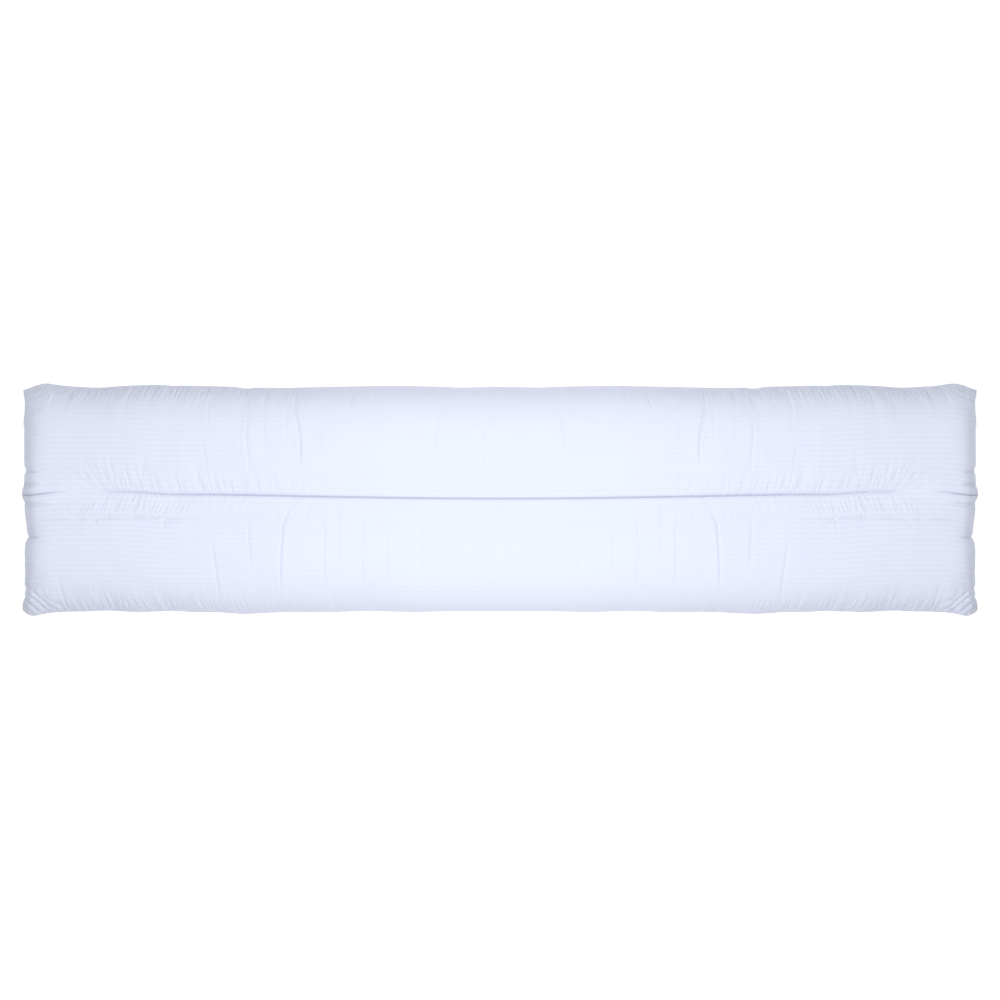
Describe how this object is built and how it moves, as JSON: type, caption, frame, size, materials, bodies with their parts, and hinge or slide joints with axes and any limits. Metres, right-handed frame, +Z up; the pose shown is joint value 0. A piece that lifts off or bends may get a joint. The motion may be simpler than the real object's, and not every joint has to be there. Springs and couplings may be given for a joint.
{
  "type": "body pillow",
  "caption": "Long rectangular body pillow in a white striped cotton cover, with a lengthwise seam drawn into its face and a gathered knife-edge seam.",
  "frame": {"origin": "centre of the footprint, on the surface that the pillow lies on", "axes": "+X along the pillow's length, +Y across it, +Z up out of its face"},
  "size_m": [1.79, 0.4332, 0.1545],
  "materials": {
    "striped_cotton": "cool white cotton with fine woven stripes along its length"
  },
  "bodies": {
    "root": {"pillow": "striped_cotton"}
  },
  "joints": []
}
